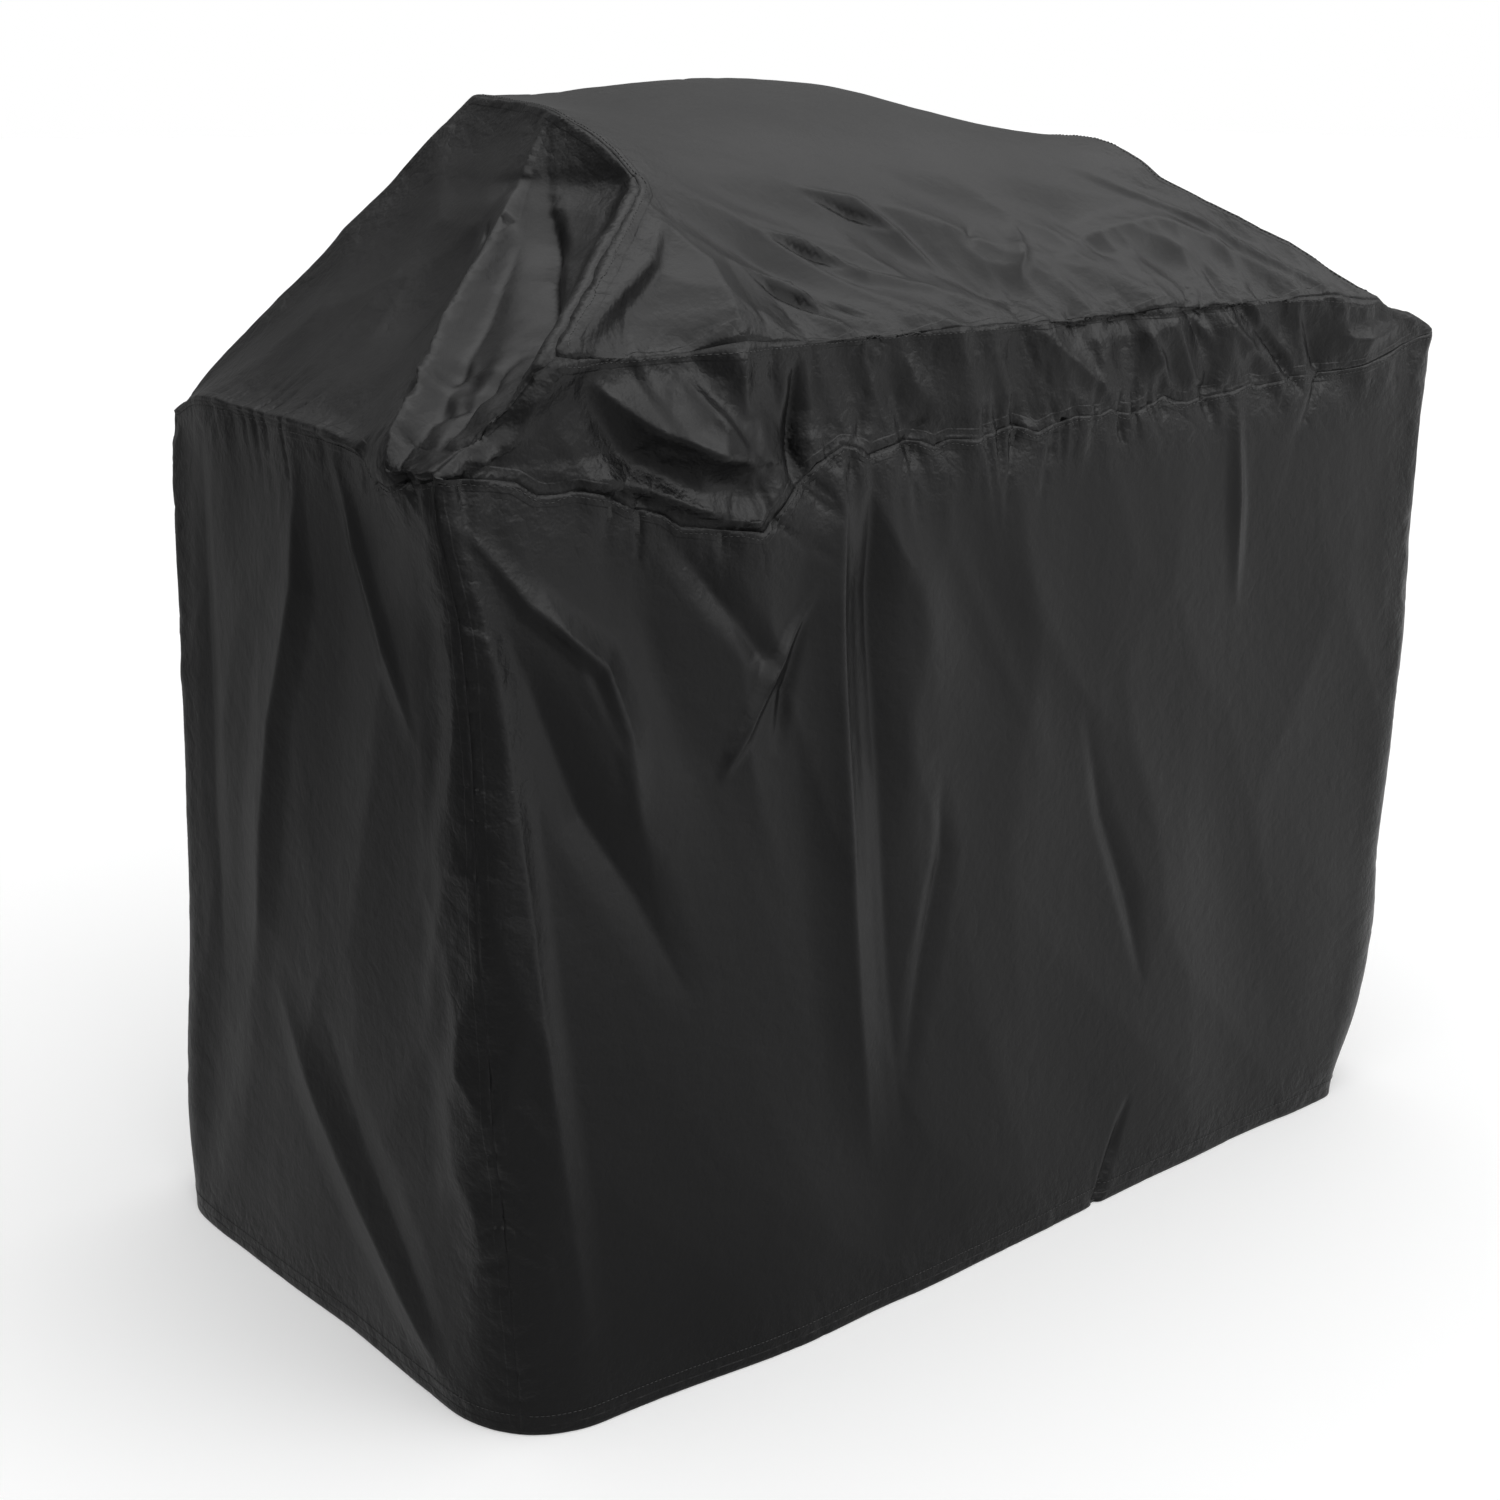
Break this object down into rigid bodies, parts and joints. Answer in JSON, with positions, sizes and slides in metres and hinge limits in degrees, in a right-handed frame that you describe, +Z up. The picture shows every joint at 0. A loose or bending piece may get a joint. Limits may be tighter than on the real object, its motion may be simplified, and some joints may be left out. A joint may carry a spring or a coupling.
{
  "type": "grill cover",
  "caption": "Fitted slip-over cloth cover for a cart grill with side shelves: raised hood, sloping shoulders, upright front band and long skirts with a gathered hem.",
  "frame": {"origin": "middle of the floor outline, at floor level", "axes": "+X along the length, to the right seen from the front; -Y is the front; +Z up"},
  "size_m": [1.2706, 0.6606, 1.1708],
  "materials": {
    "cover_cloth": "tight plain-weave polyester with a waterproof coating, near black, soft satin sheen",
    "binding_tape": "woven polyester tape, black, matt",
    "thread": "twisted polyester sewing thread, black",
    "elastic": "braided covered elastic cord, black"
  },
  "bodies": {
    "root": {"hood_panel": "cover_cloth", "front_band": "cover_cloth", "front_skirt": "cover_cloth", "back_upper_panel": "cover_cloth", "back_skirt": "cover_cloth", "left_shoulder_panel": "cover_cloth", "right_shoulder_panel": "cover_cloth", "left_end_skirt": "cover_cloth", "right_end_skirt": "cover_cloth", "hem_casing_front": "cover_cloth", "hem_casing_back": "cover_cloth", "hem_casing_left": "cover_cloth", "hem_casing_right": "cover_cloth", "shelf_tape_front": "binding_tape", "shelf_tape_back": "binding_tape", "shelf_tape_left": "binding_tape", "shelf_tape_right": "binding_tape", "corner_tape_front_left": "binding_tape", "corner_tape_front_right": "binding_tape", "corner_tape_back_left": "binding_tape", "corner_tape_back_right": "binding_tape", "front_upper_tape": "binding_tape", "hood_back_tape": "binding_tape", "hood_end_tape_left": "binding_tape", "hood_end_tape_right": "binding_tape", "shelf_stitching_front": "thread", "shelf_stitching_back": "thread", "shelf_stitching_left": "thread", "shelf_stitching_right": "thread", "hem_stitching_front": "thread", "hem_stitching_back": "thread", "hem_stitching_left": "thread", "hem_stitching_right": "thread", "front_upper_stitching": "thread", "hood_end_stitching_left": "thread", "hood_end_stitching_right": "thread", "hem_elastic": "elastic"}
  },
  "joints": []
}
